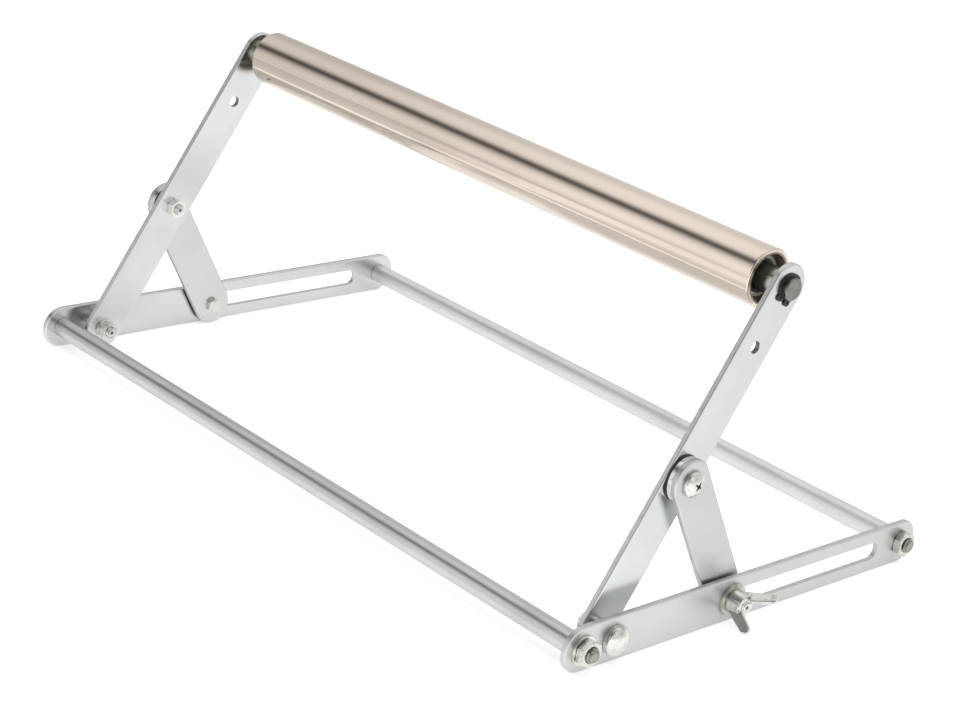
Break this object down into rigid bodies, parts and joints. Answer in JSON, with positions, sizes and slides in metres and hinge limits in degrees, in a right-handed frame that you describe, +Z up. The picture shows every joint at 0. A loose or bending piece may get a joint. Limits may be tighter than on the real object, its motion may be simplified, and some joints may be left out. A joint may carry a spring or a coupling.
{
  "type": "roller stand",
  "caption": "Low bench-top stand with a free-turning roller on leaning arms; struts clamped by wing nuts in slotted base bars set the roller's height.",
  "frame": {"origin": "on the surface that the stand rests on, at mid-width and midway between the front and rear rods", "axes": "+X along the roller to the stand's right-hand side, +Y from the front rod to the rear rod, +Z up"},
  "size_m": [0.4932, 0.277, 0.1939],
  "materials": {
    "zinc_strip": "bright zinc plated",
    "rod_steel": "bright drawn",
    "zinc_fastener": "bright zinc plated",
    "polished_tube": "polished nickel plated",
    "axle_steel": "turned",
    "bearing_steel": "ground",
    "black_ring": "black oxide",
    "black_bush": "moulded",
    "seal_rubber": "matt"
  },
  "bodies": {
    "base": {"base_bar_left": "zinc_strip", "base_bar_right": "zinc_strip", "front_rod": "rod_steel", "rear_rod": "rod_steel", "front_rod_washers": "zinc_fastener", "front_rod_nuts": "zinc_fastener", "rear_rod_nuts": "zinc_fastener", "foot_pivot_bolts": "zinc_fastener", "foot_pivot_sleeves": "zinc_fastener", "foot_pivot_washers": "zinc_fastener", "foot_pivot_nuts": "zinc_fastener"},
    "arms": {"arm_left": "zinc_strip", "arm_right": "zinc_strip", "axle": "axle_steel", "retaining_rings": "black_ring", "axle_spacers": "zinc_fastener", "dust_bushes": "black_bush", "bearing_inner_races": "bearing_steel", "strut_pivot_screws": "zinc_fastener", "strut_pivot_washers": "black_bush", "strut_pivot_discs": "zinc_fastener", "strut_pivot_nuts": "zinc_fastener"},
    "roller": {"roller_tube": "polished_tube", "bearing_housing_left": "bearing_steel", "bearing_housing_right": "bearing_steel", "bearing_outer_races": "bearing_steel", "bearing_balls": "bearing_steel", "bearing_seals": "seal_rubber"},
    "strut_left": {"strut_left": "zinc_strip", "slot_bolt_left": "zinc_fastener", "slot_inner_washer_left": "zinc_fastener", "slot_outer_washer_left": "zinc_fastener"},
    "strut_right": {"strut_right": "zinc_strip", "slot_bolt_right": "zinc_fastener", "slot_inner_washer_right": "zinc_fastener", "slot_outer_washer_right": "zinc_fastener"},
    "wing_nut_left": {"wing_nut_left": "zinc_fastener"},
    "wing_nut_right": {"wing_nut_right": "zinc_fastener"}
  },
  "joints": [
    {"name": "arm_fold", "type": "hinge", "parent": "base", "child": "arms", "pos_m": [0, -0.104, 0.0125], "axis": [1, 0, 0], "range_deg": [-45.5, 1.8]},
    {"name": "strut_left_fold", "type": "hinge", "parent": "arms", "child": "strut_left", "pos_m": [-0.2189, -0.06022, 0.08536], "axis": [1, 0, 0], "range_deg": [-3.7, 91.2]},
    {"name": "strut_right_fold", "type": "hinge", "parent": "arms", "child": "strut_right", "pos_m": [0.2189, -0.06022, 0.08536], "axis": [1, 0, 0], "range_deg": [-3.7, 91.2]},
    {"name": "roller_spin", "type": "hinge", "parent": "arms", "child": "roller", "pos_m": [0, -0.0046, 0.17793], "axis": [1, 0, 0], "continuous": true},
    {"name": "wing_nut_left_turn", "type": "hinge", "parent": "strut_left", "child": "wing_nut_left", "pos_m": [-0.2306, -0.01644, 0.0125], "axis": [-1, 0, 0], "continuous": true},
    {"name": "wing_nut_right_turn", "type": "hinge", "parent": "strut_right", "child": "wing_nut_right", "pos_m": [0.2306, -0.01644, 0.0125], "axis": [1, 0, 0], "continuous": true}
  ],
  "couplings": [
    {"joint": "strut_left_fold", "follows": "arm_fold", "ratio": -2},
    {"joint": "strut_right_fold", "follows": "arm_fold", "ratio": -2}
  ]
}
